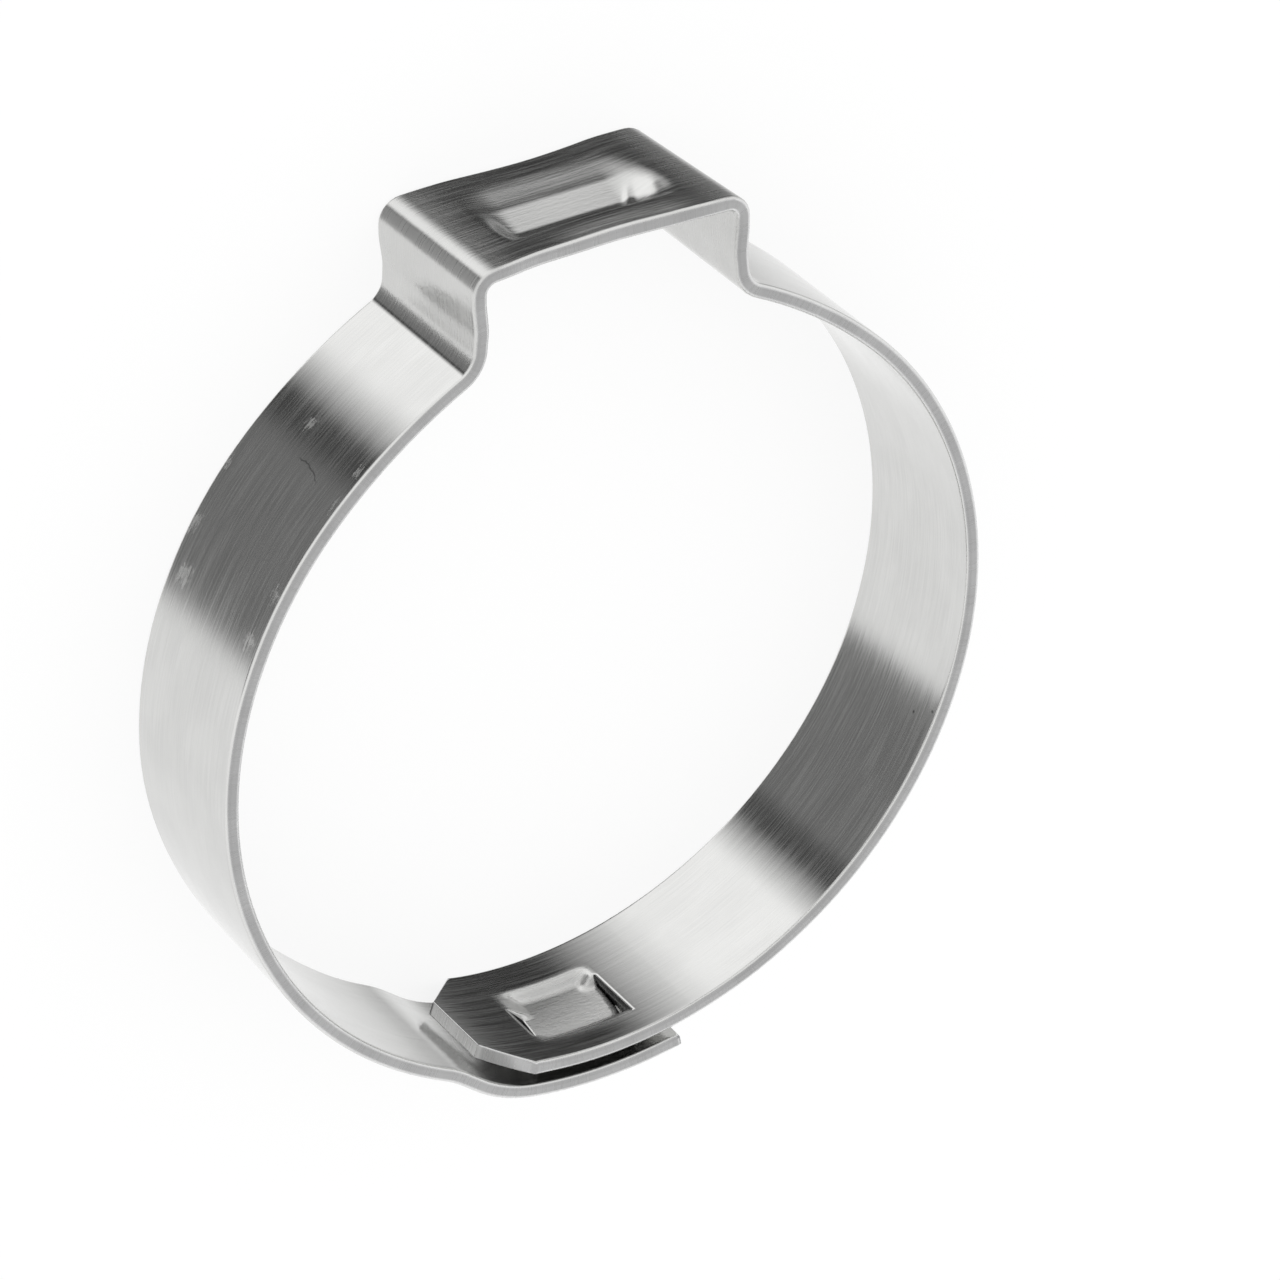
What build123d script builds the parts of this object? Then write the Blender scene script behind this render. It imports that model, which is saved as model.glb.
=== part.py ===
from build123d import *
from math import atan2, cos, degrees, hypot, radians, sin, sqrt, tan
import os

# Ear hose clamp, lying flat: the ring's axis is Z, the ear points along +Y, and the two
# strip ends overlap opposite the ear. All sizes in millimetres, angles in degrees.

# The strip that the whole clamp is bent from
band_width = 9.0
band_thickness = 0.8
edge_break = 0.12            # how far the strip's long edges are broken, all along

# The ring
ring_inner_radius = 21.5
ring_drift = 0.5             # how much wider the arc is that leads the left side into the joggle

# The ear: two feet, two legs and a top plate
ear_gap = 14.5               # between the inner faces of the legs, below the top corners
ear_foot_step = 0.1          # how much nearer the middle each leg starts at its foot
ear_waist_step = 0.2         # the same at the waist, where the legs come closest
ear_height = 4.25            # from the outside of the ring to the outside of the top plate
ear_shoulder_drop = 1.1      # from the underside of the top plate to the shoulders of the legs
ear_waist_drop = 1.5         # from the shoulders to the waist
ear_leg_bend = 4.0           # bend radius at the waist and the shoulders
ear_foot_bend = 2.25         # bend radius of the inner face at a foot
ear_corner_bend = 0.5        # bend radius of the inner face at a top corner
flank_flattening = 6.5       # how much wider than the ring the arc is that leads to a foot
flank_half_angle = 45.0      # from the ear to where the flank leaves the ring
waist_depth = 0.4            # how far the top plate's long edges are drawn in at their middle

# The dimple pressed into the ear's top plate
dimple_length = 10.4
dimple_width = 5.6
dimple_floor_length = 6.6
dimple_floor_width = 2.4
dimple_depth = 0.85
dimple_corner = 2.0
dimple_floor_corner = 0.9
dimple_soft_edge = 0.6       # bend radius of the dimple's rim and floor edges

# The overlap: the outer layer steps out over the inner one and ends with a square cut
overlap_gap = 0.6            # between the two layers
joggle_end = 6.2             # arc lengths on the ring's inside, measured from the bottom
joggle_length = 3.6
joggle_bend = 7.0
outer_end = 3.8              # how far the outer layer reaches past the bottom
inner_reach = 0.8            # how far the inner end runs in under the joggle's slope
inner_tip_width = 4.5
inner_tip_length = 2.3       # length of the two slanted corners at the inner end
tip_clearance = 0.05

# The interlock: a bridge lanced out of both layers, cut through at its two short ends
clinch_offset = 0.35         # from the bottom toward the joggle
clinch_length = 4.9
clinch_depth = 1.0           # how far the inner bridge is pressed outward
clinch_floor_width = 4.2
clinch_wall_angle = 70.0
clinch_slit = 0.15           # cut beyond the bridge's end that takes the pull
clinch_slack = 0.6           # gap left open beyond its other end, toward the joggle
clinch_play = 0.05           # between the nested bridges

# Worked-out sizes
ring_outer_radius = ring_inner_radius + band_thickness
drift_radius = ring_inner_radius + ring_drift
flank_radius = ring_inner_radius + flank_flattening
outer_layer_radius = ring_outer_radius + overlap_gap
mid_width = band_width / 2
ear_top = ring_outer_radius + ear_height
ear_underside = ear_top - band_thickness
inner_end = joggle_end + inner_reach
edge_cut = min(edge_break, 0.45 * band_thickness)


def ring_angle(arc_length):
    """Direction, counter-clockwise from +X, of a place left of the bottom of the ring."""
    return 270.0 - degrees(arc_length / ring_inner_radius)


def polar(radius, angle, centre=(0.0, 0.0)):
    """Point at a radius and an angle in degrees around a centre."""
    return (centre[0] + radius * cos(radians(angle)), centre[1] + radius * sin(radians(angle)))


def left(point):
    """The same point on the left half of the ear."""
    return (-point[0], point[1])


def drape(wall_angle):
    """How far a bend line on the outside of the strip lies from the one on its inside."""
    return band_thickness * tan(radians(wall_angle) / 2)


def beside(line, distance):
    """A line, given as two points, moved outward of the ring by a distance."""
    (x1, y1), (x2, y2) = line
    shift = distance / hypot(x2 - x1, y2 - y1)
    return tuple((x + shift * (y2 - y1), y - shift * (x2 - x1)) for x, y in line)


def crossing(line, other):
    """The point where two lines, each given as two points, cross."""
    (x1, y1), (x2, y2) = line
    (x3, y3), (x4, y4) = other
    spread = (x2 - x1) * (y4 - y3) - (y2 - y1) * (x4 - x3)
    share = ((x3 - x1) * (y4 - y3) - (y3 - y1) * (x4 - x3)) / spread
    return (x1 + share * (x2 - x1), y1 + share * (y2 - y1))


def arc_crossing(line, radius, centre):
    """The point where a line, given as two points, meets a circle, nearest to its first point."""
    (x1, y1), (x2, y2) = line
    length = hypot(x2 - x1, y2 - y1)
    along = ((x1 - centre[0]) * (x2 - x1) + (y1 - centre[1]) * (y2 - y1)) / length
    off = ((x1 - centre[0]) * (y2 - y1) - (y1 - centre[1]) * (x2 - x1)) / length
    reach = sqrt(radius**2 - off**2)
    share = min(-along - reach, -along + reach, key=abs) / length
    return (x1 + share * (x2 - x1), y1 + share * (y2 - y1))


def arc_between(radius, centre, start, end):
    """The counter-clockwise arc around a centre from the direction of one point to that of another."""
    start_angle = degrees(atan2(start[1] - centre[1], start[0] - centre[0]))
    end_angle = degrees(atan2(end[1] - centre[1], end[0] - centre[0]))
    CenterArc(centre, radius, start_angle, (end_angle - start_angle) % 360)


# Where the inner face's straight runs would meet, without their bends
ring_centre = (0.0, 0.0)
drift_centre = (ring_drift, 0.0)
flank_start = polar(ring_inner_radius, 90.0 - flank_half_angle)
flank_centre = polar(-flank_flattening, 90.0 - flank_half_angle)
corner_point = (ear_gap / 2, ear_underside)
shoulder_point = (ear_gap / 2, ear_underside - ear_shoulder_drop)
waist_point = (ear_gap / 2 - ear_waist_step, shoulder_point[1] - ear_waist_drop)
foot_x = ear_gap / 2 - ear_foot_step
foot_point = (foot_x, flank_centre[1] + sqrt(flank_radius**2 - (foot_x - flank_centre[0]) ** 2))
lower_leg = (foot_point, waist_point)
upper_leg = (waist_point, shoulder_point)
leg_top = (shoulder_point, corner_point)
top_plate = (corner_point, left(corner_point))
joggle_foot = polar(drift_radius, ring_angle(joggle_end + joggle_length), drift_centre)
joggle_top = polar(outer_layer_radius, ring_angle(joggle_end))
joggle = (joggle_foot, joggle_top)
outer_tip = polar(outer_layer_radius, ring_angle(-outer_end))
inner_tip = polar(ring_inner_radius, ring_angle(inner_end))

with BuildPart() as clamp_band:
    # The strip on edge: its inner and outer face, each bend sharing its centre on both
    with BuildSketch():
        for depth in (0.0, band_thickness):
            with BuildLine() as face_line:
                ring_radius = ring_inner_radius + depth
                foot = arc_crossing(beside(lower_leg, depth), flank_radius + depth, flank_centre)
                waist = crossing(beside(lower_leg, depth), beside(upper_leg, depth))
                shoulder = crossing(beside(upper_leg, depth), beside(leg_top, depth))
                corner = crossing(beside(leg_top, depth), beside(top_plate, depth))
                step_foot = arc_crossing(beside(joggle, depth), drift_radius + depth, drift_centre)
                far_side = tuple(reversed(beside(joggle, depth)))
                step_top = arc_crossing(far_side, outer_layer_radius + depth, ring_centre)
                right_leg = (foot, waist, shoulder, corner)
                left_leg = tuple(left(point) for point in reversed(right_leg))
                arc_between(ring_radius, ring_centre, inner_tip, flank_start)
                arc_between(flank_radius + depth, flank_centre, flank_start, foot)
                Polyline(*right_leg, *left_leg)
                arc_between(flank_radius + depth, left(flank_centre), left(foot), left(flank_start))
                arc_between(ring_radius, ring_centre, left(flank_start), (-ring_radius, 0))
                arc_between(drift_radius + depth, drift_centre, (-ring_radius, 0), step_foot)
                Line(step_foot, step_top)
                arc_between(outer_layer_radius + depth, ring_centre, step_top, outer_tip)
                leg_bends = (
                    ear_foot_bend - depth,
                    ear_leg_bend - depth,
                    ear_leg_bend + depth,
                    ear_corner_bend + depth,
                )
                bends = [(step_foot, joggle_bend - depth), (step_top, joggle_bend + depth)]
                bends += zip(right_leg, leg_bends)
                bends += zip(left_leg, reversed(leg_bends))
                for place, bend_radius in bends:
                    fillet(face_line.vertices().sort_by_distance(place)[0], bend_radius)
        with BuildLine():
            for angle, end_radius in (
                (ring_angle(inner_end), ring_inner_radius),
                (ring_angle(-outer_end), outer_layer_radius),
            ):
                Line(polar(end_radius, angle), polar(end_radius + band_thickness, angle))
        make_face()
    extrude(amount=band_width)

    # The long edges of the top plate are drawn in toward its middle by the dimple
    half_waist = (ear_gap - ear_corner_bend) / 2
    for edge_height, inward in ((0.0, 1), (band_width, -1)):
        with BuildSketch(Plane.XZ.offset(-ear_underside + ear_corner_bend)):
            with BuildLine():
                Spline(
                    (-half_waist, edge_height),
                    (0, edge_height + inward * waist_depth),
                    (half_waist, edge_height),
                    tangents=((1, 0), (1, 0)),
                )
                Line((half_waist, edge_height), (-half_waist, edge_height))
            make_face()
        extrude(amount=-2 * band_thickness - ear_corner_bend, mode=Mode.SUBTRACT)

    # The broken long edges of the strip
    long_edges = clamp_band.edges().filter_by(
        lambda edge: edge.length > band_thickness + edge_cut
        and abs(edge.center().Z - mid_width) > mid_width - waist_depth - edge_cut
    )
    chamfer(long_edges, edge_cut)

    # The inner end narrows to a tip, with a slanted cut on each side
    tip_plane = Plane(
        origin=(*inner_tip, mid_width),
        x_dir=(*polar(1, ring_angle(inner_end) + 90), 0),
        z_dir=(*polar(1, ring_angle(inner_end)), 0),
    )
    with BuildSketch(tip_plane.offset(-band_thickness)):
        with Locations((inner_tip_length / 2, 0)):
            Rectangle(inner_tip_length, 2 * band_width)
        Polygon(
            (0, inner_tip_width / 2),
            (0, -inner_tip_width / 2),
            (inner_tip_length, -mid_width),
            (inner_tip_length, mid_width),
            align=None,
            mode=Mode.SUBTRACT,
        )
    extrude(amount=2 * band_thickness + tip_clearance, mode=Mode.SUBTRACT)

    # The dimple: a dish with sloping walls, of the strip's own thickness
    dimple_plane = Plane(origin=(0, ear_top, mid_width), x_dir=(1, 0, 0), z_dir=(0, -1, 0))
    dimple_wall_angle = degrees(atan2(dimple_depth, (dimple_width - dimple_floor_width) / 2))
    spread = 2 * drape(dimple_wall_angle)
    with BuildSketch(dimple_plane.offset(band_thickness)):
        RectangleRounded(dimple_length + spread, dimple_width + spread, dimple_corner + spread / 2)
    with BuildSketch(dimple_plane.offset(band_thickness + dimple_depth)):
        RectangleRounded(
            dimple_floor_length + spread,
            dimple_floor_width + spread,
            dimple_floor_corner + spread / 2,
        )
    loft()
    with BuildSketch(dimple_plane):
        RectangleRounded(dimple_length, dimple_width, dimple_corner)
    with BuildSketch(dimple_plane.offset(dimple_depth)):
        RectangleRounded(dimple_floor_length, dimple_floor_width, dimple_floor_corner)
    loft(mode=Mode.SUBTRACT)
    for depth, reach in (
        (0, dimple_length),
        (dimple_depth, dimple_floor_length),
        (band_thickness, dimple_length + spread),
        (band_thickness + dimple_depth, dimple_floor_length + spread),
    ):
        level = ear_top - depth
        edges = clamp_band.edges().filter_by(
            lambda edge: abs(edge.bounding_box().min.Y - level) < 0.001
            and abs(edge.bounding_box().max.Y - level) < 0.001
            and abs(edge.center().X) < reach / 2 + 0.001
            and abs(edge.center().Z - mid_width) < mid_width - waist_depth - 2 * edge_cut
        )
        fillet(edges, dimple_soft_edge)

    # The interlock: in each layer a trough is pressed outward between two slits
    layers = (
        # inner radius of the layer, inner radius and half width of its trough, half length
        (
            outer_layer_radius,
            ring_inner_radius + clinch_depth + band_thickness + clinch_play,
            clinch_floor_width / 2 + drape(clinch_wall_angle) + clinch_play,
            clinch_length / 2 + clinch_play,
        ),
        (
            ring_inner_radius,
            ring_inner_radius + clinch_depth,
            clinch_floor_width / 2,
            clinch_length / 2,
        ),
    )
    clinch_turn = drape(clinch_wall_angle)
    half_gap = overlap_gap / 2
    for layer_radius, floor_radius, floor_half, half_length in layers:
        mouth_half = floor_half + (floor_radius - layer_radius) / tan(radians(clinch_wall_angle))
        start_angle = ring_angle(clinch_offset + half_length)
        end_angle = ring_angle(clinch_offset - half_length)
        slit_turn = ring_angle(0) - ring_angle(clinch_slit)
        slack_turn = ring_angle(0) - ring_angle(clinch_slack)
        trough_plane = Plane(
            origin=(0, 0, mid_width),
            x_dir=(*polar(1, start_angle), 0),
            z_dir=(*polar(1, start_angle - 90), 0),
        )
        with BuildSketch(trough_plane):
            Polygon(
                (layer_radius + band_thickness / 2, mouth_half + clinch_turn),
                (layer_radius + band_thickness, mouth_half + clinch_turn),
                (floor_radius + band_thickness, floor_half + clinch_turn),
                (floor_radius + band_thickness, -floor_half - clinch_turn),
                (layer_radius + band_thickness, -mouth_half - clinch_turn),
                (layer_radius + band_thickness / 2, -mouth_half - clinch_turn),
                align=None,
            )
        revolve(axis=Axis.Z, revolution_arc=end_angle - start_angle)
        with BuildSketch(trough_plane):
            Polygon(
                (layer_radius - half_gap, mouth_half),
                (layer_radius, mouth_half),
                (floor_radius, floor_half),
                (floor_radius, -floor_half),
                (layer_radius, -mouth_half),
                (layer_radius - half_gap, -mouth_half),
                align=None,
            )
        revolve(axis=Axis.Z, revolution_arc=end_angle - start_angle, mode=Mode.SUBTRACT)
        for slit_start, turn in ((start_angle - slack_turn, slack_turn), (end_angle, slit_turn)):
            slit_plane = Plane(
                origin=(0, 0, mid_width),
                x_dir=(*polar(1, slit_start), 0),
                z_dir=(*polar(1, slit_start - 90), 0),
            )
            with BuildSketch(slit_plane):
                with Locations((layer_radius + band_thickness / 2, 0)):
                    Rectangle(band_thickness + 2 * half_gap, 2 * mouth_half)
            revolve(axis=Axis.Z, revolution_arc=turn, mode=Mode.SUBTRACT)

os.makedirs("parts", exist_ok=True)
clamp_band.part.label = "clamp_band"
export_step(clamp_band.part, "parts/clamp_band.step")
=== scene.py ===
import math

import bmesh
import bpy
from mathutils import Matrix, Vector


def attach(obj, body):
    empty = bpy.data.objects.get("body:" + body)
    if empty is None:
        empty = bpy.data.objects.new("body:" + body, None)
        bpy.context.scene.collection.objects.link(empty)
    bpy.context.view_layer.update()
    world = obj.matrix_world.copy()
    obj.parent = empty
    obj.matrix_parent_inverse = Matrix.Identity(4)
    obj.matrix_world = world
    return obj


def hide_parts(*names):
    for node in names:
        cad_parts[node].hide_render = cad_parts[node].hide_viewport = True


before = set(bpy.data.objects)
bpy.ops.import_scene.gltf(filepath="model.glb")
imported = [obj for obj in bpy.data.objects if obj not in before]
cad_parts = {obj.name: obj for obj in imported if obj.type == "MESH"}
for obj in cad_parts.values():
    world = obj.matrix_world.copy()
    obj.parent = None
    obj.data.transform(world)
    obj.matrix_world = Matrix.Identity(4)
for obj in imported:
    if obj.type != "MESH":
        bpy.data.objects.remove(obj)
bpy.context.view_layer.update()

# The strip of satin stainless steel, 9 x 0.8 mm, that the whole clamp is made from.
# It is slit and pressed flat, then bent along its length into the ring and the ear, and
# its two ends lie one over the other, held by a bridge that is pressed through both.
strip_width = 9.0
strip_thickness = 0.8
strip_middle = strip_width / 2
ring_radius = 21.5           # of the strip's inner face, like every radius here
ring_drift = 0.5             # the left side leads into the joggle on an arc this much wider
flank_flattening = 6.5       # and the arcs that lead to the ear's feet are this much wider
flank_direction = 45.0
ear_gap = 14.5
ear_height = 4.25
ear_foot_step = 0.1
ear_waist_step = 0.2
ear_shoulder_drop = 1.1
ear_waist_drop = 1.5
foot_bend = 2.25
leg_bend = 4.0
corner_bend = 0.5
overlap_gap = 0.6            # between the two layers where the ends overlap
joggle_end = 6.2             # along the ring from its bottom, like the next four sizes
joggle_length = 3.6
inner_end = 7.0
outer_end = 3.8
joggle_bend = 7.0
bridge_offset = 0.35         # of the bridges' middle from the ring's bottom toward the joggle
bridge_length = 4.9
bridge_slit = 0.15           # cut beyond the bridge's end that takes the pull
bridge_slack = 0.6           # gap left open beyond its other end
bridge_play = 0.05           # between the nested bridges
tip_width = 4.5
tip_length = 2.3
ring_centre = Vector((0.0, 0.0))


def polar(radius, direction, centre=ring_centre):
    """The point at a distance and a direction in degrees from a centre."""
    angle = math.radians(direction)
    return centre + radius * Vector((math.cos(angle), math.sin(angle)))


def ring_place(arc_length):
    """The direction from the ring's centre of a place so far left of its bottom."""
    return 270.0 - math.degrees(arc_length / ring_radius)


def heading(start, end):
    """The direction from one point to another, in degrees."""
    return math.degrees(math.atan2(end.y - start.y, end.x - start.x))


def arc(radius, turn):
    """An arc of the strip as its length and how far it turns to the left, in degrees."""
    turn = (turn + 180) % 360 - 180
    return (abs(radius * math.radians(turn)), turn)


def cut_off(bend, turn):
    """How much a bend takes from each of the two straight runs that it joins."""
    return bend * math.tan(math.radians(abs(turn)) / 2)


def meeting(centre, radius, bend, point, direction):
    """Where a bend joins an arc to a line: the strip's direction where the bend meets the arc,
    and the point where it meets the line. A bend to the left is positive, to the right negative."""
    along = polar(1.0, direction)
    start = point + polar(bend, direction + 90) - centre
    half = start.dot(along)
    root = math.sqrt(half ** 2 - start.length_squared + (radius - bend) ** 2)
    share = min(-half - root, -half + root, key=abs)
    return heading(-share * along, start) + 90, point + share * along


# The ear's right half: the flank, the foot, the waist, the shoulder and the top corner
flank_radius = ring_radius + flank_flattening
flank_centre = polar(-flank_flattening, flank_direction)
ear_corner = Vector((ear_gap / 2, ring_radius + ear_height))
shoulder = ear_corner - Vector((0, ear_shoulder_drop))
waist = shoulder - Vector((ear_waist_step, ear_waist_drop))
foot_x = ear_gap / 2 - ear_foot_step
foot_reach = math.sqrt(flank_radius ** 2 - (foot_x - flank_centre.x) ** 2)
foot = Vector((foot_x, flank_centre.y + foot_reach))
leg_direction = heading(foot, waist)
waist_turn = heading(waist, shoulder) - leg_direction
shoulder_turn = 90.0 - leg_direction - waist_turn
flank_end, leg_start = meeting(flank_centre, flank_radius, -foot_bend, foot, leg_direction)
waist_cut = cut_off(leg_bend, waist_turn)
shoulder_cut = cut_off(leg_bend, shoulder_turn)
half_ear = (
    arc(flank_radius, flank_end - flank_direction - 90),
    arc(foot_bend, leg_direction - flank_end),
    ((waist - leg_start).length - waist_cut, 0.0),
    arc(leg_bend, waist_turn),
    ((shoulder - waist).length - waist_cut - shoulder_cut, 0.0),
    arc(leg_bend, shoulder_turn),
    (ear_shoulder_drop - shoulder_cut - corner_bend, 0.0),
    arc(corner_bend, 90.0),
)

# The joggle that steps the outer layer out over the inner one
drift_radius = ring_radius + ring_drift
drift_centre = Vector((ring_drift, 0.0))
lap_radius = ring_radius + strip_thickness + overlap_gap
joggle_foot = polar(drift_radius, ring_place(joggle_end + joggle_length), drift_centre)
joggle_top = polar(lap_radius, ring_place(joggle_end))
slope = heading(joggle_foot, joggle_top)
drift_end, slope_start = meeting(drift_centre, drift_radius, -joggle_bend, joggle_foot, slope)
lap_start, slope_end = meeting(ring_centre, lap_radius, joggle_bend, joggle_top, slope)

# The strip's whole inner face, from the inner end to the outer one: length and turn
bends = (
    arc(ring_radius, flank_direction - ring_place(inner_end)),
    *half_ear,
    (ear_gap - 2 * corner_bend, 0.0),
    *reversed(half_ear),
    arc(ring_radius, flank_direction),
    arc(drift_radius, drift_end - 270),
    arc(joggle_bend, slope - drift_end),
    ((slope_end - slope_start).length, 0.0),
    arc(joggle_bend, lap_start - slope),
    arc(lap_radius, ring_place(-outer_end) + 90 - lap_start),
)


def reached(rows):
    """How far along the strip the first so many rows of its bends reach."""
    return sum(length for length, turn in bends[:rows])


# Places along the strip. The ear's own part of each half runs from the foot, after the flank.
strip_length = reached(len(bends))
plate_row = 1 + len(half_ear)
ear_start = reached(2)
plate_start = reached(plate_row)
plate_end = reached(plate_row + 1)
plate_middle = (plate_start + plate_end) / 2
ear_end = reached(plate_row + len(half_ear))
joggle_start = reached(plate_row + len(half_ear) + 3)
bridge_left = bridge_offset + bridge_length / 2 + bridge_slack
bridge_right = bridge_length / 2 - bridge_offset + bridge_slit
lap_stretch = lap_radius / ring_radius
inner_slits = (inner_end - bridge_left, inner_end + bridge_right)
outer_slits = (
    strip_length - (outer_end + bridge_left + bridge_play) * lap_stretch,
    strip_length - (outer_end - bridge_right - bridge_play) * lap_stretch,
)

# The flat blank, cut where its fineness changes, then divided
rim_cell = 0.4               # the outermost row of cells, wide enough for the rolled edge
cells_across = 66            # between the two rim cells
tiny = 0.001                 # less than any cell of the mesh
map_size = 200.0             # how much of the strip one side of the flat map stands for
stretches = (
    # from, to, number of divisions
    (0.0, tip_length, 10),
    (tip_length, inner_slits[0], 8),
    (*inner_slits, 44),
    (inner_slits[1], 12.0, 14),
    (12.0, ear_start, 68),
    (ear_start, plate_start, 56),
    (plate_start, plate_end, 96),
    (plate_end, ear_end, 56),
    (ear_end, joggle_start, 64),
    (joggle_start, outer_slits[0], 38),
    (*outer_slits, 44),
    (outer_slits[1], strip_length, 8),
)
blank = bmesh.new()
bmesh.ops.create_grid(blank, x_segments=1, y_segments=1, size=0.5)
bmesh.ops.translate(blank, verts=blank.verts, vec=(0.5, 0.5, 0))
bmesh.ops.scale(blank, verts=blank.verts, vec=(strip_length, strip_width, 1))
for start, end, divisions in stretches[1:]:
    whole = blank.verts[:] + blank.edges[:] + blank.faces[:]
    bmesh.ops.bisect_plane(blank, geom=whole, plane_co=(start, 0, 0), plane_no=(1, 0, 0))
for side in (rim_cell, strip_width - rim_cell):
    whole = blank.verts[:] + blank.edges[:] + blank.faces[:]
    bmesh.ops.bisect_plane(blank, geom=whole, plane_co=(0, side, 0), plane_no=(0, 1, 0))
for start, end, divisions in stretches:
    long_sides = [
        edge for edge in blank.edges
        if abs(edge.verts[0].co.y - edge.verts[1].co.y) < tiny
        and start < (edge.verts[0].co.x + edge.verts[1].co.x) / 2 < end
    ]
    bmesh.ops.subdivide_edges(blank, edges=long_sides, cuts=divisions - 1)
cross_lines = [
    edge for edge in blank.edges
    if abs(edge.verts[0].co.x - edge.verts[1].co.x) < tiny
    and rim_cell < (edge.verts[0].co.y + edge.verts[1].co.y) / 2 < strip_width - rim_cell
]
bmesh.ops.subdivide_edges(blank, edges=cross_lines, cuts=cells_across - 1)

# The inner end narrows to its tip in two slanted sides
for vert in blank.verts:
    if vert.co.x < tip_length:
        share = vert.co.x / tip_length
        narrowing = (tip_width + (strip_width - tip_width) * share) / strip_width
        vert.co.y = strip_middle + (vert.co.y - strip_middle) * narrowing

# The grain runs along the strip, so its pattern is laid on a map of the flat blank.
# The side of each point is kept too, because the marks differ on the two faces.
flat_map = blank.loops.layers.uv.new("flat_strip")
outer_side = blank.verts.layers.float.new("outer_side")
for face in blank.faces:
    for loop in face.loops:
        loop[flat_map].uv = (loop.vert.co.y / map_size, loop.vert.co.x / map_size)

# The slits at both ends of the two bridges, then the strip's thickness
bridge_middle = 4.95         # across the strip
slit_margin = 1.0            # no slit comes nearer than this to a long edge
end_roll = 0.3               # the end cuts are rolled this much, next to 1 for the long edges
inner_bridge = {
    "slits": inner_slits,
    "open": ((3.9, 6.6), (3.4, 7.2)),    # how far each slit reaches across the strip
    "gap": 0.8,
}
outer_bridge = {
    "slits": outer_slits,
    "open": ((2.2, 7.7), (2.2, 7.7)),
    "gap": 0.6,
}
for bridge in (inner_bridge, outer_bridge):
    for slit, (low, high) in zip(bridge["slits"], bridge["open"]):
        slit_line = [
            edge for edge in blank.edges
            if max(abs(vert.co.x - slit) for vert in edge.verts) < tiny
            and low < (edge.verts[0].co.y + edge.verts[1].co.y) / 2 < high
        ]
        bmesh.ops.split_edges(blank, edges=slit_line)
thick = bmesh.ops.extrude_face_region(blank, geom=blank.faces[:], use_keep_orig=True)
outer_face = [part for part in thick["geom"] if isinstance(part, bmesh.types.BMVert)]
bmesh.ops.translate(blank, verts=outer_face, vec=(0, 0, strip_thickness))
for vert in outer_face:
    vert[outer_side] = 1.0
bmesh.ops.recalc_face_normals(blank, faces=blank.faces)
rim_weight = blank.edges.layers.float.new("bevel_weight_edge")
for face in blank.faces:
    face.smooth = True
    if abs(face.normal.z) < 0.5:
        face.material_index = 1
for edge in blank.edges:
    faces = {face.material_index for face in edge.link_faces}
    middle = (edge.verts[0].co + edge.verts[1].co) / 2
    at_end = middle.x < tip_length or middle.x > strip_length - tiny
    at_slit = not at_end and slit_margin < middle.y < strip_width - slit_margin
    if faces == {0, 1} and not at_slit:
        edge[rim_weight] = end_roll if at_end else 1.0


def ease(value, low, high):
    """0 below low, 1 above high, and a soft curve between."""
    share = min(max((value - low) / (high - low), 0.0), 1.0)
    return share * share * (3 - 2 * share)


# The bridges of the interlock, pressed outward. The inner one has a steep far wall and a floor
# that slopes down to its near rim; the outer one is a plain arch that it sits in.
inner_far_wall = (2.35, 3.2)         # across the strip, like the next two
inner_floor = (3.05, 5.9)
inner_near_wall = (5.9, 7.2)
outer_wall = (2.1, 2.8)              # from the bridge's middle
inner_depth = 0.55
inner_slope = 0.39                   # how much deeper the inner floor is at its near side
outer_depth = 0.45
slit_run_out = 0.4
bridge_blend = 1.0                   # from a slit to the full form, where the slit is closed
full_gap_rise = 0.6                  # the rise at which the gap stands fully open


def inner_form(across):
    """How deep the inner bridge is pressed at a place across the strip."""
    floor_start, floor_end = inner_floor
    floor_share = min(max((across - floor_start) / (floor_end - floor_start), 0.0), 1.0)
    floor = inner_depth + inner_slope * floor_share ** 1.8
    return ease(across, *inner_far_wall) * floor * (1 - ease(across, *inner_near_wall))


def outer_form(across):
    """How deep the outer bridge is pressed at a place across the strip."""
    return outer_depth * (1 - ease(abs(across - bridge_middle), *outer_wall))


for bridge, form in ((inner_bridge, inner_form), (outer_bridge, outer_form)):
    first, last = bridge["slits"]
    pressed = set()
    for face in blank.faces:
        place = face.calc_center_median()
        if first < place.x < last and face.material_index == 0:
            pressed.update(face.verts)
    for vert in pressed:
        along, across = vert.co.x, vert.co.y
        rise = form(across)
        for distance, (low, high) in zip((along - first, last - along), bridge["open"]):
            cut_free = ease(across, low, low + slit_run_out)
            cut_free *= 1 - ease(across, high - slit_run_out, high)
            rise *= cut_free + (1 - cut_free) * ease(distance, 0.0, bridge_blend)
        opened = bridge["gap"] * min(rise / full_gap_rise, 1.0)
        vert.co.z += rise
        vert.co.x += opened * (1 - ease(along, first, (first + last) / 2))

# The dimple in the ear's top plate, pressed inward: a gentle far slope, a crease, a steeper
# floor, then a near wall up to a crisp rim. Its right end is wrinkled by two slanted ridges,
# and the plate's long edges are drawn in and rolled down by it.
dimple_far, dimple_crease, dimple_bottom, dimple_near = 1.9, 3.75, 5.5, 7.25
dimple_depth = 0.85
dimple_left = (-5.1, -3.2)           # its ends, from the plate's middle toward the right
dimple_right = (2.6, 5.6)
dimple_drape = 0.2                   # on the inner face its bulge starts this much further out
crease_depth = 0.41                  # of the dimple's depth
press_reach = 7.2                    # the press moved nothing further from the plate's middle
drawn_in = 0.42
rolled_down = 0.16
rolled_across = (7.5, 9.2)
rolled_along = (2.0, 6.0)            # to each side of the place where it is strongest
rolled_middle = 1.0


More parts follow.
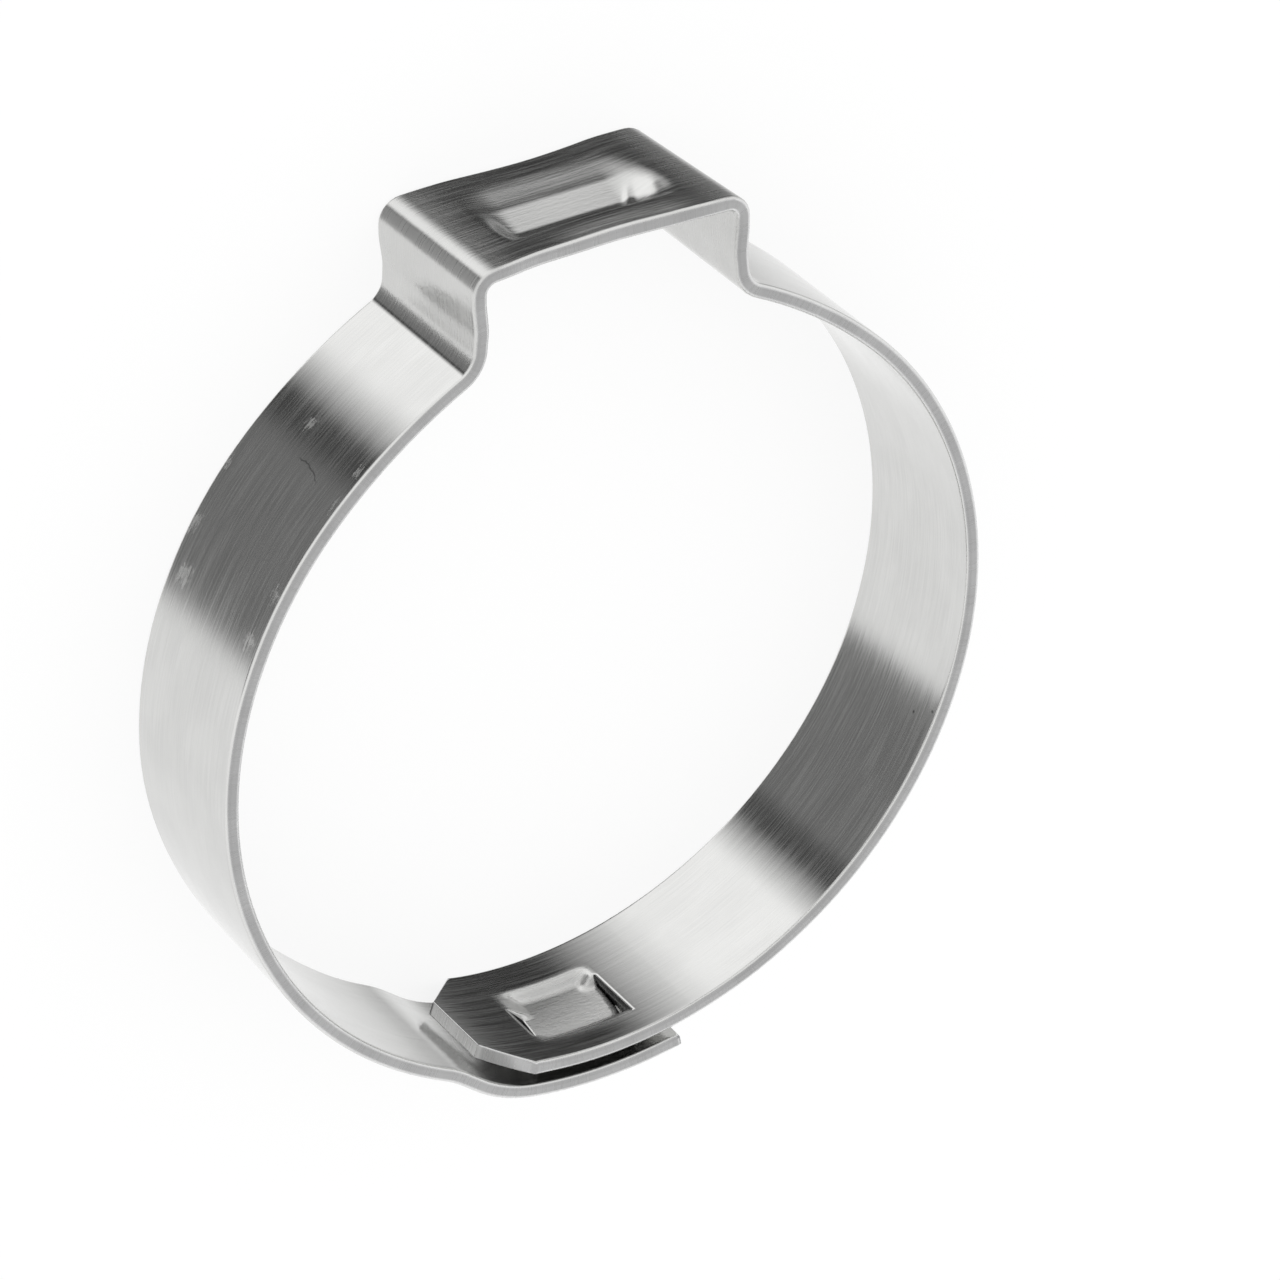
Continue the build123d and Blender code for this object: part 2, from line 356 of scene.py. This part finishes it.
def dimple_form(across):
    """How deep the dimple is at a place across the strip, for a depth of 1."""
    if across < dimple_crease:
        return crease_depth * ease(across, dimple_far - 0.5, dimple_crease + 0.25)
    if across < dimple_bottom:
        share = (across - dimple_crease) / (dimple_bottom - dimple_crease)
        return crease_depth + (1 - crease_depth) * share
    share = min((across - dimple_bottom) / (dimple_near - dimple_bottom), 1.0)
    return 1 - share ** 2


ridges = (
    # place along and across the plate, half width, half length, height
    (2.9, 5.7, 0.24, 0.85, 0.13),
    (4.3, 6.0, 0.32, 0.65, 0.08),
)
ridge_direction = Vector((0.54, -0.84))
for vert in blank.verts:
    along = plate_middle - vert.co.x
    across = vert.co.y
    if abs(along) < press_reach:
        drape = 0.0 if vert.co.z > strip_thickness / 2 else dimple_drape
        ends = ease(along, dimple_left[0] - drape, dimple_left[1])
        ends *= 1 - ease(along, dimple_right[0], dimple_right[1] + drape)
        wrinkle = 0.0
        for ridge_along, ridge_across, width, length, height in ridges:
            offset = Vector((along - ridge_along, across - ridge_across))
            lengthwise = offset.dot(ridge_direction)
            sideways = offset.cross(ridge_direction)
            wrinkle += height * math.exp(-(sideways / width) ** 2 - (lengthwise / length) ** 2)
        rolled = rolled_down * ease(across, *rolled_across)
        rolled *= 1 - ease(abs(along - rolled_middle), *rolled_along)
        vert.co.z += wrinkle - dimple_depth * dimple_form(across) * ends - rolled
    drawn = drawn_in * (1 - ease(abs(along), 0.0, press_reach))
    vert.co.y -= drawn * (across - strip_middle) / strip_middle


def bent(place, direction, part, radius):
    """The place and the direction after part of a bend. A straight run has no radius."""
    if radius is None:
        return place + part * Vector((math.cos(direction), math.sin(direction))), direction
    here = direction + part / radius
    step = Vector((math.sin(here) - math.sin(direction), math.cos(direction) - math.cos(here)))
    return place + radius * step, here


# Bending: every point of the flat strip goes to its place along the bends
bent_starts = []
passed = 0.0
place = polar(ring_radius, ring_place(inner_end))
direction = math.radians(ring_place(inner_end) + 90)
for length, turn in bends:
    radius = length / math.radians(turn) if turn else None
    bent_starts.append((passed, place, direction, radius))
    place, direction = bent(place, direction, length, radius)
    passed += length
for vert in blank.verts:
    passed, place, direction, radius = next(
        start for start in reversed(bent_starts) if start[0] <= max(vert.co.x, 0.0) + 1e-6
    )
    place, here = bent(place, direction, vert.co.x - passed, radius)
    place = place + vert.co.z * Vector((math.sin(here), -math.cos(here)))
    vert.co = (place.x, place.y, vert.co.y)

# Small irregularities: the ear's ends droop a little and its legs lean inward, the right one most
# at the far edge, and the lower left of the ring stands a little wider at the near edge than at
# the far one
end_droop = 0.14
leg_lean = 0.15
far_edge_lean = 0.55
lower_left_lean = 0.28
above_ring = 20.0            # only the ear lies higher than this
droop_side, droop_rise = (3.8, 7.6), (21.0, 24.5)
leg_side, leg_rise = (2.0, 7.0), (21.5, 25.0)
lean_start, lean_end = (0, 30), (45, 66)     # degrees round the ring, down from its left side
for vert in blank.verts:
    x, y, z = vert.co
    far = 1 - z / strip_width
    if y > above_ring:
        up_leg = ease(y, *leg_rise)
        vert.co.y -= end_droop * ease(abs(x), *droop_side) * ease(y, *droop_rise)
        vert.co.x -= up_leg * ease(x, *leg_side) * (leg_lean + far_edge_lean * far)
        vert.co.x += up_leg * ease(-x, *leg_side) * leg_lean * (1 - far)
    elif x < 0 and y < 0:
        round_the_ring = math.degrees(math.atan2(-y, -x))
        lean = lower_left_lean * far * ease(round_the_ring, *lean_start)
        lean *= 1 - ease(round_the_ring, *lean_end)
        vert.co.x -= lean * x / math.hypot(x, y)
        vert.co.y -= lean * y / math.hypot(x, y)
bmesh.ops.scale(blank, verts=blank.verts, vec=(0.001, 0.001, 0.001))
strip_mesh = bpy.data.meshes.new("clamp_strip")
blank.to_mesh(strip_mesh)
blank.free()
clamp_strip = bpy.data.objects.new("clamp_strip", strip_mesh)
bpy.context.scene.collection.objects.link(clamp_strip)
edge_roll = clamp_strip.modifiers.new("rolled edges", "BEVEL")
edge_roll.limit_method = "WEIGHT"
edge_roll.width = 0.00028
edge_roll.segments = 4
edge_roll.harden_normals = True
edge_roll.use_clamp_overlap = False


def put(value, socket):
    """Gives a socket a number, or links another socket to it."""
    if isinstance(value, (int, float)):
        socket.default_value = value
    else:
        links.new(value, socket)


def between(value, low, high, to_low, to_high):
    """A value that goes softly from to_low to to_high while another goes from low to high."""
    step = nodes.new("ShaderNodeMapRange")
    step.interpolation_type = "SMOOTHSTEP"
    names = ("Value", "From Min", "From Max", "To Min", "To Max")
    for name, number in zip(names, (value, low, high, to_low, to_high)):
        put(number, step.inputs[name])
    return step.outputs["Result"]


def combined(operation, first, second):
    """Two values put together by a named operation."""
    sum_of = nodes.new("ShaderNodeMath")
    sum_of.operation = operation
    for socket, value in zip(sum_of.inputs, (first, second)):
        put(value, socket)
    return sum_of.outputs[0]


def strip_in_mm():
    """The place on the flat strip in mm: across it, then along it."""
    flat = nodes.new("ShaderNodeUVMap")
    flat.uv_map = "flat_strip"
    in_mm = nodes.new("ShaderNodeVectorMath")
    in_mm.operation = "SCALE"
    in_mm.inputs["Scale"].default_value = map_size
    links.new(flat.outputs["UV"], in_mm.inputs[0])
    return in_mm.outputs[0]


def new_group(name, inputs, outputs):
    """An empty shader node group: the group, its input sockets and its output sockets."""
    group = bpy.data.node_groups.new(name, "ShaderNodeTree")
    for socket in inputs:
        group.interface.new_socket(socket, in_out="INPUT", socket_type="NodeSocketFloat")
    for socket, kind in outputs:
        group.interface.new_socket(socket, in_out="OUTPUT", socket_type=kind)
    given = group.nodes.new("NodeGroupInput").outputs
    result = group.nodes.new("NodeGroupOutput").inputs
    return group, given, result


# What the strip's two materials share: a noise over the flat strip, by cells per mm across and
# along it, and a soft-edged patch of it
noise_group, given, result = new_group(
    "strip_noise",
    ("Across", "Along", "Detail", "Roughness"),
    (("Fac", "NodeSocketFloat"), ("Color", "NodeSocketColor")),
)
nodes, links = noise_group.nodes, noise_group.links
stretch = nodes.new("ShaderNodeCombineXYZ")
stretch.inputs["Z"].default_value = 1.0
links.new(given["Across"], stretch.inputs["X"])
links.new(given["Along"], stretch.inputs["Y"])
placing = nodes.new("ShaderNodeVectorMath")
placing.operation = "MULTIPLY"
links.new(strip_in_mm(), placing.inputs[0])
links.new(stretch.outputs["Vector"], placing.inputs[1])
noise = nodes.new("ShaderNodeTexNoise")
noise.noise_dimensions = "2D"
noise.inputs["Scale"].default_value = 1.0
links.new(given["Detail"], noise.inputs["Detail"])
links.new(given["Roughness"], noise.inputs["Roughness"])
links.new(placing.outputs[0], noise.inputs["Vector"])
links.new(noise.outputs["Fac"], result["Fac"])
links.new(noise.outputs["Color"], result["Color"])

patch_group, given, result = new_group(
    "strip_patch",
    ("Along from", "Along to", "Across from", "Across to", "Soft"),
    (("Mask", "NodeSocketFloat"),),
)
nodes, links = patch_group.nodes, patch_group.links
spread = nodes.new("ShaderNodeSeparateXYZ")
links.new(strip_in_mm(), spread.inputs[0])
sides = []
for axis, start, end in (("Y", "Along from", "Along to"), ("X", "Across from", "Across to")):
    for edge, before, after in ((given[start], 0.0, 1.0), (given[end], 1.0, 0.0)):
        low = combined("SUBTRACT", edge, given["Soft"])
        high = combined("ADD", edge, given["Soft"])
        sides.append(between(spread.outputs[axis], low, high, before, after))
covered = sides[0]
for side in sides[1:]:
    covered = combined("MULTIPLY", covered, side)
links.new(covered, result["Mask"])


def placed(group, *values):
    """The outputs of a node group that is placed in the present material with these values."""
    node = nodes.new("ShaderNodeGroup")
    node.node_tree = group
    for socket, value in zip(node.inputs, values):
        socket.default_value = value
    return node.outputs


def pattern(stretch, detail, roughness=0.55):
    """The shared noise, with so many cells per mm across and along the strip."""
    return placed(noise_group, *stretch, detail, roughness)


def patch(low_along, high_along, low_across, high_across, soft):
    """The shared soft-edged patch of the flat strip."""
    return placed(patch_group, low_along, high_along, low_across, high_across, soft)["Mask"]


# The rolled faces: satin stainless steel, with its grain along the strip. It is coarser where
# the ear and the interlock were stretched.
satin = bpy.data.materials.new("satin_steel")
satin.use_nodes = True
nodes, links = satin.node_tree.nodes, satin.node_tree.links
surface = nodes["Principled BSDF"]
surface.inputs["Metallic"].default_value = 1.0
surface.inputs["Anisotropic"].default_value = 0.9
across_grain = nodes.new("ShaderNodeTangent")
across_grain.direction_type = "UV_MAP"
across_grain.uv_map = "flat_strip"
links.new(across_grain.outputs["Tangent"], surface.inputs["Tangent"])
flat_place = strip_in_mm()
fine_grain = pattern((11.0, 0.22), 3.0)["Fac"]
long_grain = pattern((3.2, 0.05), 2.0)["Fac"]
clouds = pattern((0.35, 0.22), 3.0)["Fac"]
peel = pattern((7.0, 2.6), 2.0)["Fac"]
along_strip = nodes.new("ShaderNodeSeparateXYZ")
links.new(flat_place, along_strip.inputs[0])
place_along, place_across = along_strip.outputs["Y"], along_strip.outputs["X"]
in_ear = combined(
    "MULTIPLY",
    between(place_along, ear_start + 0.5, ear_start + 2.0, 0.0, 1.0),
    between(place_along, ear_end - 2.0, ear_end - 0.5, 1.0, 0.0),
)
off_middle = combined("ABSOLUTE", combined("SUBTRACT", place_along, plate_middle), 0.0)
stretched = combined("MULTIPLY", in_ear, between(off_middle, 5.0, 7.2, 0.22, 0.8))

# The pressed interlock, and painted shade: a dark line in the crease at the foot of its far wall
interlock_across = (2.4, 7.3)
crease_shade_place = (4.6, 8.8, 3.05, 3.3, 0.14)
crease_shade_strength = 0.3
interlock = patch(*inner_slits, *interlock_across, 0.35)
# painted shade: the crease is darkened in the base colour where it lies in shadow
crease_shade = combined("MULTIPLY", patch(*crease_shade_place), crease_shade_strength)
stretched = combined("MAXIMUM", stretched, combined("MULTIPLY", interlock, 0.8))

# A faint curved hair scratch on the left outer side and a few specks on the right inner one
which_side = nodes.new("ShaderNodeAttribute")
which_side.attribute_name = "outer_side"
on_outer = between(which_side.outputs["Fac"], 0.45, 0.55, 0.0, 1.0)
on_inner = between(which_side.outputs["Fac"], 0.45, 0.55, 1.0, 0.0)
scratch_along = 99.7
scratch_across = 5.0
scratch_bow = 0.16
scratch_wander = 0.5
scratch_strength = 0.6
scratch_reach = (98.0, 102.0, 4.5, 6.4, 0.3)
specks = (
    # along from and to, across from and to, softness
    (31.6, 31.75, 7.15, 7.28, 0.06),
    (32.3, 32.42, 8.45, 8.6, 0.06),
)
from_middle = combined("SUBTRACT", place_across, scratch_across)
bow = combined("MULTIPLY", combined("MULTIPLY", from_middle, from_middle), scratch_bow)
wander = combined("MULTIPLY", pattern((1.3, 0.1), 2.0)["Fac"], scratch_wander)
off_scratch = combined("SUBTRACT", place_along, bow)
off_scratch = combined("SUBTRACT", off_scratch, combined("ADD", wander, scratch_along))
scratch = between(combined("ABSOLUTE", off_scratch, 0.0), 0.02, 0.07, 1.0, 0.0)
scratch = combined("MULTIPLY", scratch, patch(*scratch_reach))
scratch = combined("MULTIPLY", combined("MULTIPLY", scratch, on_outer), scratch_strength)
# the specks are real marks; the crease line joined with them is painted shade
specks_and_crease_shade = crease_shade
for speck in specks:
    specks_and_crease_shade = combined("MAXIMUM", patch(*speck), specks_and_crease_shade)
marks_and_crease_shade = combined("MAXIMUM", scratch, combined("MULTIPLY", specks_and_crease_shade, on_inner))

# Frosted spots in the grain of the left outer side
spots = (
    # place across and along the strip, radius
    (1.4, 108.0, 0.75),
    (8.4, 105.6, 0.4),
    (8.0, 108.2, 0.7),
    (3.5, 98.4, 0.45),
    (0.4, 105.6, 0.6),
    (8.3, 98.7, 0.35),
    (8.5, 100.6, 0.3),
    (0.3, 102.3, 0.35),
)
shake = (1.2, 2.4)           # how far the spots' outlines are shaken across and along the strip
shaken = nodes.new("ShaderNodeVectorMath")
shaken.operation = "MULTIPLY_ADD"
shaken.inputs[1].default_value = (*shake, 0.0)
links.new(pattern((3.4, 1.3), 4.0, 0.75)["Color"], shaken.inputs[0])
links.new(flat_place, shaken.inputs[2])
frosted = 0.0
for across, along, radius in spots:
    reach = nodes.new("ShaderNodeVectorMath")
    reach.operation = "DISTANCE"
    reach.inputs[1].default_value = (across + shake[0] / 2, along + shake[1] / 2, 0.0)
    links.new(shaken.outputs[0], reach.inputs[0])
    spot = between(reach.outputs["Value"], radius * 0.2, radius, 1.0, 0.0)
    frosted = combined("MAXIMUM", spot, frosted)
frosted = combined("MULTIPLY", frosted, on_outer)

stretched_roughness = 0.16
frosted_roughness = 0.13
mark_and_shade_darkness = 0.4
blue_share = 0.985           # of red and green, for the steel's faint warmth
peel_height = 4.5
relief_height = 0.0000035
rough = between(fine_grain, 0.3, 0.7, 0.14, 0.21)
rough = combined("ADD", rough, combined("MULTIPLY", stretched, stretched_roughness))
rough = combined("ADD", rough, combined("MULTIPLY", frosted, frosted_roughness))
links.new(rough, surface.inputs["Roughness"])
tone = between(fine_grain, 0.3, 0.7, -0.02, 0.02)
tone = combined("ADD", tone, between(clouds, 0.3, 0.7, 0.60, 0.63))
# the scratch and the specks darken the tone, and so does the painted shade in the crease
tone = combined("SUBTRACT", tone, combined("MULTIPLY", marks_and_crease_shade, mark_and_shade_darkness))
colour = nodes.new("ShaderNodeCombineColor")
links.new(tone, colour.inputs["Red"])
links.new(tone, colour.inputs["Green"])
links.new(combined("MULTIPLY", tone, blue_share), colour.inputs["Blue"])
links.new(colour.outputs["Color"], surface.inputs["Base Color"])
relief = combined("MULTIPLY", fine_grain, 0.55)
relief = combined("ADD", relief, combined("MULTIPLY", long_grain, 1.3))
relief = combined("ADD", relief, combined("MULTIPLY", combined("MULTIPLY", peel, stretched), peel_height))
bump = nodes.new("ShaderNodeBump")
bump.inputs["Strength"].default_value = 1.0
bump.inputs["Distance"].default_value = relief_height
links.new(relief, bump.inputs["Height"])
links.new(bump.outputs["Normal"], surface.inputs["Normal"])
strip_mesh.materials.append(satin)

# The cut edges: sheared steel, duller than the faces and without their grain, with fine lines
# and patches. Painted shade darkens them in the slits of the inner bridge, where they lie in shadow.
sheared = bpy.data.materials.new("sheared_steel")
sheared.use_nodes = True
nodes, links = sheared.node_tree.nodes, sheared.node_tree.links
surface = nodes["Principled BSDF"]
surface.inputs["Metallic"].default_value = 1.0
slit_shade_darkness = 0.5
cut_lines = pattern((9.0, 5.0), 3.0)["Fac"]
cut_patches = pattern((0.8, 0.35), 3.0)["Fac"]
links.new(between(cut_lines, 0.3, 0.7, 0.24, 0.38), surface.inputs["Roughness"])
# painted shade: the cut faces inside the inner bridge's slits are darkened where they lie in shadow
slit_shade_mask = patch(3.2, 9.9, 1.6, 7.9, 0.3)
tone = between(cut_patches, 0.3, 0.7, 0.58, 0.64)
tone = combined("SUBTRACT", tone, combined("MULTIPLY", slit_shade_mask, slit_shade_darkness))
colour = nodes.new("ShaderNodeCombineColor")
for channel in ("Red", "Green", "Blue"):
    links.new(tone, colour.inputs[channel])
links.new(colour.outputs["Color"], surface.inputs["Base Color"])
bump = nodes.new("ShaderNodeBump")
bump.inputs["Distance"].default_value = 0.000006
links.new(combined("MULTIPLY", cut_lines, cut_patches), bump.inputs["Height"])
links.new(bump.outputs["Normal"], surface.inputs["Normal"])
strip_mesh.materials.append(sheared)
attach(clamp_strip, "root")
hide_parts("clamp_band")

# The plain white table that the clamp lies on. It shows the clamp's soft shadow.
floor_mesh = bpy.data.meshes.new("table")
floor_shape = bmesh.new()
bmesh.ops.create_grid(floor_shape, x_segments=1, y_segments=1, size=3.0)
floor_shape.to_mesh(floor_mesh)
floor_shape.free()
table = bpy.data.objects.new("table", floor_mesh)
bpy.context.scene.collection.objects.link(table)
table.visible_glossy = False
paper = bpy.data.materials.new("white_paper")
paper.use_nodes = True
nodes, links = paper.node_tree.nodes, paper.node_tree.links
matt = nodes["Principled BSDF"]
matt.inputs["Base Color"].default_value = (0.85, 0.85, 0.85, 1)
matt.inputs["Roughness"].default_value = 1.0
matt.inputs["Specular IOR Level"].default_value = 0.0
white = nodes.new("ShaderNodeEmission")
white.inputs["Strength"].default_value = 1.05
seen = nodes.new("ShaderNodeLightPath")
share = nodes.new("ShaderNodeMath")
share.operation = "MULTIPLY"
share.inputs[1].default_value = 0.8
links.new(seen.outputs["Is Camera Ray"], share.inputs[0])
sheet = nodes.new("ShaderNodeMixShader")
links.new(share.outputs[0], sheet.inputs["Fac"])
links.new(matt.outputs[0], sheet.inputs[1])
links.new(white.outputs[0], sheet.inputs[2])
links.new(sheet.outputs[0], nodes["Material Output"].inputs["Surface"])
floor_mesh.materials.append(paper)

# The studio: white all round, with dark screens that the steel mirrors
world = bpy.data.worlds.new("studio")
bpy.context.scene.world = world
world.use_nodes = True
nodes, links = world.node_tree.nodes, world.node_tree.links
nodes.clear()
out = nodes.new("ShaderNodeOutputWorld")
facing = nodes.new("ShaderNodeTexCoord")
around = nodes.new("ShaderNodeTexGradient")
around.gradient_type = "RADIAL"
links.new(facing.outputs["Generated"], around.inputs["Vector"])
screens = nodes.new("ShaderNodeValToRGB")
studio = (
    # directions in degrees from +X that a screen fills from and to, its brightness
    (2, 10, 0.5),            # a grey flag
    (21, 58, 0.04),          # the black curtain behind the ear
    (86, 116, 1.35),         # the lit window
    (128, 133, 0.07),        # the window's black frame
    (138, 186, 0.2),         # the grey curtain
    (189.5, 275, 1.05),      # the white wall
    (292, 315, 1.2),         # the lamp's glow on it
    (345, 350, 0.95),        # the far end of the wall
)
horizon = (-0.56, -0.22, 1.2)    # height from and to, brightness, like the ceiling
ceiling = (0.35, 0.65, 0.60)
levels = [(edge, brightness) for start, end, brightness in studio for edge in (start, end)]
ramp = screens.color_ramp
stops = sorted((((direction + 180) % 360) / 360, level) for direction, level in levels)
while len(ramp.elements) < len(stops):
    ramp.elements.new(0.5)
for element, (position, level) in zip(ramp.elements, stops):
    element.position = position
for element, (position, level) in zip(ramp.elements, stops):
    element.color = (level, level, level, 1)
links.new(around.outputs["Fac"], screens.inputs["Fac"])
height = nodes.new("ShaderNodeSeparateXYZ")
links.new(facing.outputs["Generated"], height.inputs[0])
lit = screens.outputs["Color"]
for low, high, brightness in (horizon, ceiling):
    belt = nodes.new("ShaderNodeMix")
    belt.data_type = "RGBA"
    belt.inputs["B"].default_value = (brightness, brightness, brightness, 1)
    links.new(lit, belt.inputs["A"])
    links.new(between(height.outputs["Z"], low, high, 0.0, 1.0), belt.inputs["Factor"])
    lit = belt.outputs["Result"]
seen = nodes.new("ShaderNodeLightPath")
plain = nodes.new("ShaderNodeBackground")
plain.inputs["Color"].default_value = (1, 1, 1, 1)
room = nodes.new("ShaderNodeBackground")
links.new(lit, room.inputs["Color"])
chosen = nodes.new("ShaderNodeMixShader")
links.new(seen.outputs["Is Glossy Ray"], chosen.inputs["Fac"])
links.new(plain.outputs[0], chosen.inputs[1])
links.new(room.outputs[0], chosen.inputs[2])
links.new(chosen.outputs[0], out.inputs["Surface"])

# The camera looks down on the clamp, with the ear at the top of the picture
camera_data = bpy.data.cameras.new("camera")
camera_data.lens = 193.33
camera_data.sensor_width = 36.0
camera_data.clip_start = 0.01
camera = bpy.data.objects.new("camera", camera_data)
bpy.context.scene.collection.objects.link(camera)
looked_at = Vector((0.00432, -0.00062, 0.00456))
camera_distance = 0.35
camera_direction = math.radians(129.94)
camera_elevation = math.radians(45.29)
camera_roll = math.radians(130.52)
toward_camera = Vector((
    math.cos(camera_elevation) * math.cos(camera_direction),
    math.cos(camera_elevation) * math.sin(camera_direction),
    math.sin(camera_elevation),
))
aimed = (-toward_camera).to_track_quat("-Z", "Y").to_matrix().to_4x4()
stand = Matrix.Translation(looked_at + camera_distance * toward_camera)
camera.matrix_world = stand @ aimed @ Matrix.Rotation(camera_roll, 4, "Z")
bpy.context.scene.camera = camera
bpy.context.scene.view_settings.view_transform = "Standard"
